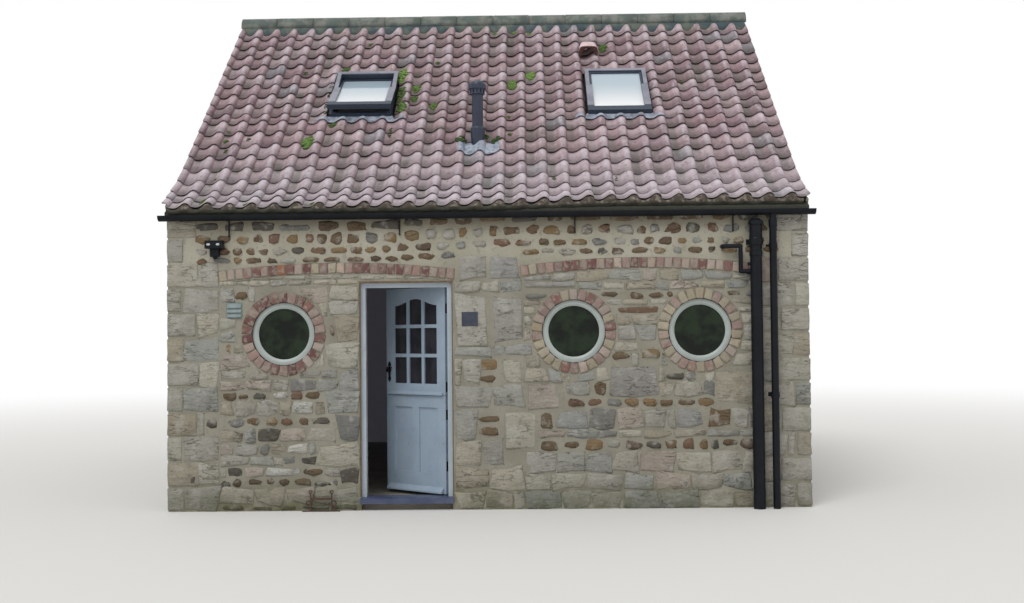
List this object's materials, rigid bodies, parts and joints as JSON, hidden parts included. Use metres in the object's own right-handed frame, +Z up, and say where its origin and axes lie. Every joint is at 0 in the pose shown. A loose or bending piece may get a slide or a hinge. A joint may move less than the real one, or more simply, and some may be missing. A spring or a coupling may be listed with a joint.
{
  "type": "stone cottage",
  "caption": "Small stone cottage with a bell-cast pantile roof, round windows, brick arches and rings, rooflights and a stable door whose leaves swing separately.",
  "frame": {"origin": "middle of the footprint, on the ground, at the underside of the floor slab", "axes": "+X to the right along the front, +Y from the front to the back, +Z up; the front faces -Y"},
  "size_m": [6.178, 6.4858, 5.5278],
  "materials": {
    "stone": "coursed limestone rubble in pale mortar",
    "floor_stone": "worn stone floor",
    "brick": "soft red and buff brick",
    "sage_paint": "pale sage satin paint on timber",
    "glass": "clear double glazing",
    "door_paint": "pale blue-grey satin paint on timber",
    "sill_paint": "slate-blue gloss paint on timber",
    "pantile": "weathered clay pantiles",
    "ridge_tile": "mossy clay ridge tiles",
    "rooflight_metal": "grey painted aluminium covers",
    "lead": "dull lead sheet",
    "black_plastic": "black plastic",
    "black_iron": "black painted iron",
    "terracotta": "pale terracotta",
    "vent_plastic": "pale blue-grey plastic",
    "slate": "riven slate",
    "rusty_iron": "rusty iron"
  },
  "bodies": {
    "cottage": {"front_wall_left": "stone", "front_wall_over_door": "stone", "front_wall_right": "stone", "left_gable_wall": "stone", "right_gable_wall": "stone", "rear_wall": "stone", "floor_slab": "floor_stone", "brick_arch_left": "brick", "brick_arch_right": "brick", "brick_ring_left": "brick", "brick_ring_middle": "brick", "brick_ring_right": "brick", "porthole_frame_left": "sage_paint", "porthole_frame_middle": "sage_paint", "porthole_frame_right": "sage_paint", "window_glass": "glass", "door_frame": "door_paint", "door_stop": "door_paint", "door_sill": "sill_paint", "front_roof_slope": "pantile", "rear_roof_slope": "pantile", "ridge_tiles": "ridge_tile", "rooflight_frame_left": "rooflight_metal", "rooflight_frame_right": "rooflight_metal", "rooflight_sash_left": "rooflight_metal", "rooflight_sash_right": "rooflight_metal", "lead_flashings": "lead", "front_gutter": "black_plastic", "rear_gutter": "black_plastic", "rain_downpipe": "black_plastic", "soil_stack": "black_plastic", "waste_pipe": "black_plastic", "roof_vent_pipe": "black_plastic", "outside_lamp": "black_plastic", "gutter_brackets": "black_iron", "frame_hinges": "black_iron", "terracotta_vent_hood": "terracotta", "louvre_vent": "vent_plastic", "house_sign": "slate", "boot_scraper": "rusty_iron"},
    "upper_leaf": {"upper_door_leaf": "door_paint", "upper_door_glass": "glass", "door_latch": "black_iron", "upper_door_hinges": "black_iron"},
    "lower_leaf": {"lower_door_leaf": "door_paint", "lower_door_hinges": "black_iron"}
  },
  "joints": [
    {"name": "upper_leaf_hinge", "type": "hinge", "parent": "cottage", "child": "upper_leaf", "pos_m": [-0.372, -2.958, 1.525], "axis": [0, 0, -1], "range_deg": [-38, 52]},
    {"name": "lower_leaf_hinge", "type": "hinge", "parent": "cottage", "child": "lower_leaf", "pos_m": [-0.372, -2.958, 0.64], "axis": [0, 0, -1], "range_deg": [-38, 52]}
  ]
}
